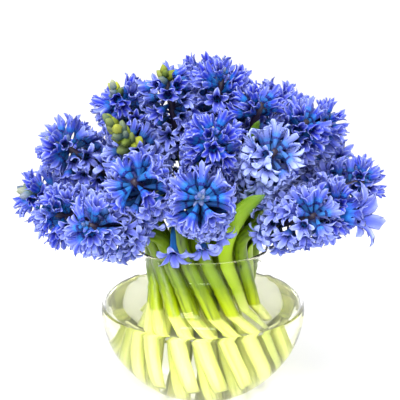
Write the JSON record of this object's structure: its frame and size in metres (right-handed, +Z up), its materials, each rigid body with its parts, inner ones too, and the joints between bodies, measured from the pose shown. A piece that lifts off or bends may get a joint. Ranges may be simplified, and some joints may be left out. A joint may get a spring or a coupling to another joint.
{
  "type": "hyacinth bouquet in a round glass vase",
  "caption": "Round bouquet of cut blue hyacinths with strap leaves, their stems laid in a spiral, standing in water in a clear round glass vase with a flared collar.",
  "frame": {"origin": "centre of the vase's flat foot, on the surface that it stands on", "axes": "+Z up along the vase's axis, -Y towards the side that the picture shows, +X to the right of that side"},
  "size_m": [0.34, 0.3234, 0.3272],
  "materials": {
    "petal": "satin",
    "stem": "satin",
    "leaf": "satin",
    "glass": "polished",
    "water": "clear"
  },
  "bodies": {
    "root": {"head_01": "petal", "head_02": "petal", "head_03": "petal", "head_04": "petal", "head_05": "petal", "head_06": "petal", "head_07": "petal", "head_08": "petal", "head_09": "petal", "head_10": "petal", "head_11": "petal", "head_12": "petal", "head_13": "petal", "head_14": "petal", "head_15": "petal", "head_16": "petal", "head_17": "petal", "head_18": "petal", "head_19": "petal", "head_20": "petal", "head_21": "petal", "head_22": "petal", "head_23": "petal", "head_24": "petal", "head_25": "petal", "head_26": "petal", "head_27": "petal", "stem_01": "stem", "stem_02": "stem", "stem_03": "stem", "stem_04": "stem", "stem_05": "stem", "stem_06": "stem", "stem_07": "stem", "stem_08": "stem", "stem_09": "stem", "stem_10": "stem", "stem_11": "stem", "stem_12": "stem", "stem_13": "stem", "stem_14": "stem", "stem_15": "stem", "stem_16": "stem", "stem_17": "stem", "stem_18": "stem", "stem_19": "stem", "stem_20": "stem", "stem_21": "stem", "stem_22": "stem", "stem_23": "stem", "stem_24": "stem", "stem_25": "stem", "stem_26": "stem", "stem_27": "stem", "leaf_1": "leaf", "leaf_2": "leaf", "leaf_3": "leaf", "leaf_4": "leaf", "vase": "glass", "water": "water"}
  },
  "joints": []
}
